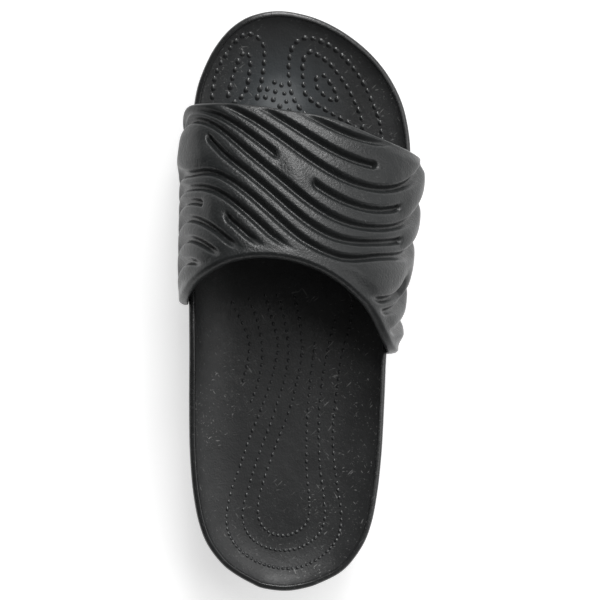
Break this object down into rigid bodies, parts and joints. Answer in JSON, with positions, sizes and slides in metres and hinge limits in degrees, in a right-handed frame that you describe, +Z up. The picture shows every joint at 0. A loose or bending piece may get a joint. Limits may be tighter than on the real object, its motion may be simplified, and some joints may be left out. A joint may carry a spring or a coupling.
{
  "type": "slide sandal",
  "caption": "Moulded foam slide sandal for the right foot: contoured sole with a raised rim, studded insole and a broad instep strap with a deep ripple relief, open at toe and heel.",
  "frame": {"origin": "middle of the footprint on the floor plane, with the sole's heel and forefoot flats at z = 0", "axes": "+Y from heel to toe, +X to the outer side of the right foot, +Z up"},
  "size_m": [0.115, 0.268, 0.076],
  "materials": {
    "sole_foam": "matte moulded closed-cell foam",
    "insole_foam": "matte, finely pebbled foam",
    "strap_foam": "satin moulded closed-cell foam"
  },
  "bodies": {
    "root": {"sole": "sole_foam", "insole": "insole_foam", "upper": "strap_foam"}
  },
  "joints": []
}
